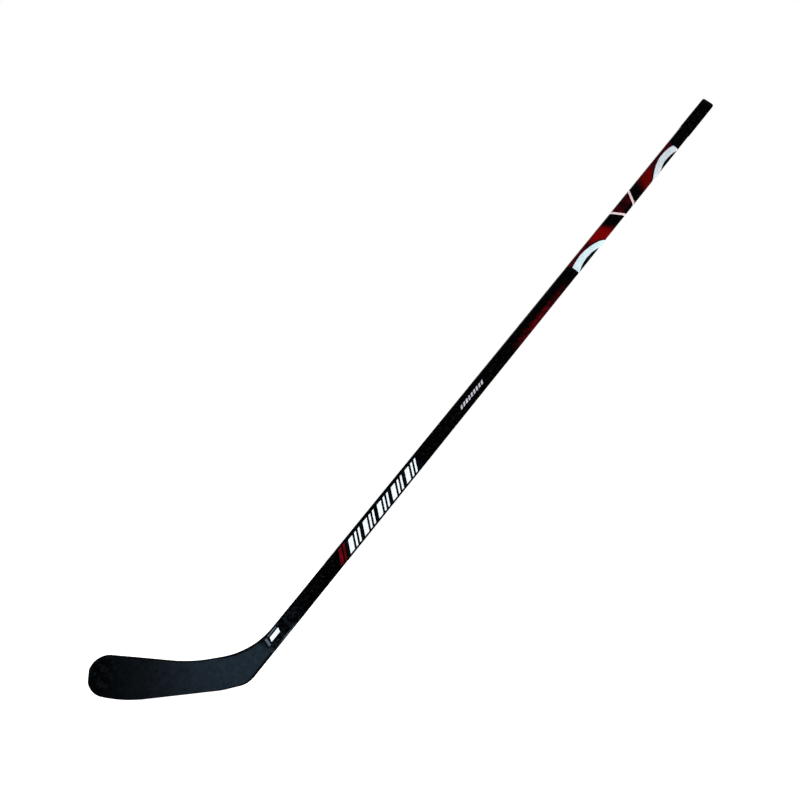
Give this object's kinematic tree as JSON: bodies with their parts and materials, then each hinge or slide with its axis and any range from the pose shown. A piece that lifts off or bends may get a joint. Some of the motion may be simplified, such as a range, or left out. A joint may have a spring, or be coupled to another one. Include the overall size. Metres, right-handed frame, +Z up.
{
  "type": "ice hockey stick",
  "caption": "Composite ice hockey stick with a hollow rounded-rectangle shaft, a curved foam-cored blade, a wrapped hosel joint and a pull-out butt plug.",
  "frame": {"origin": "middle of the level strip of the blade's sole, where the stick rests on the ice", "axes": "+Z up from the ice, +X from toe to heel and up the shaft, -Y the front face towards which the toe curves"},
  "size_m": [1.4075, 0.027, 1.1511],
  "materials": {
    "gloss_carbon": "gloss clear coat over black carbon weave",
    "raw_carbon": "bare cured carbon laminate",
    "blade_face": "satin slate coat over carbon weave, darker at the toe",
    "foam": "closed-cell structural foam",
    "dense_core": "dense syntactic foam",
    "adhesive": "set epoxy",
    "label": "white gloss sticker with plain bars",
    "print_film": "clear film printed in red, white and black shapes",
    "grip_rubber": "fine-grained matte black grip",
    "plug_plastic": "moulded black plastic"
  },
  "bodies": {
    "stick": {"blade_front_skin": "blade_face", "blade_back_skin": "blade_face", "toe_insert": "dense_core", "top_edge_rail": "raw_carbon", "bottom_edge_rail": "raw_carbon", "upper_foam_core": "foam", "lower_foam_core": "foam", "mid_stringer": "raw_carbon", "heel_insert": "dense_core", "hosel_tenon": "raw_carbon", "tenon_core": "foam", "adhesive_sleeve": "adhesive", "joint_wrap": "gloss_carbon", "hosel_label": "label", "shaft_tube": "gloss_carbon", "foam_stop": "foam", "lower_graphic_film": "print_film", "mid_graphic_film": "print_film", "upper_graphic_film": "print_film", "grip_end_sleeve": "grip_rubber"},
    "butt_end": {"butt_plug": "plug_plastic"}
  },
  "joints": [
    {"name": "butt_plug_slide", "type": "slide", "parent": "stick", "child": "butt_end", "axis": [0.7071, 0, 0.7071], "range_m": [0, 0.06]}
  ]
}
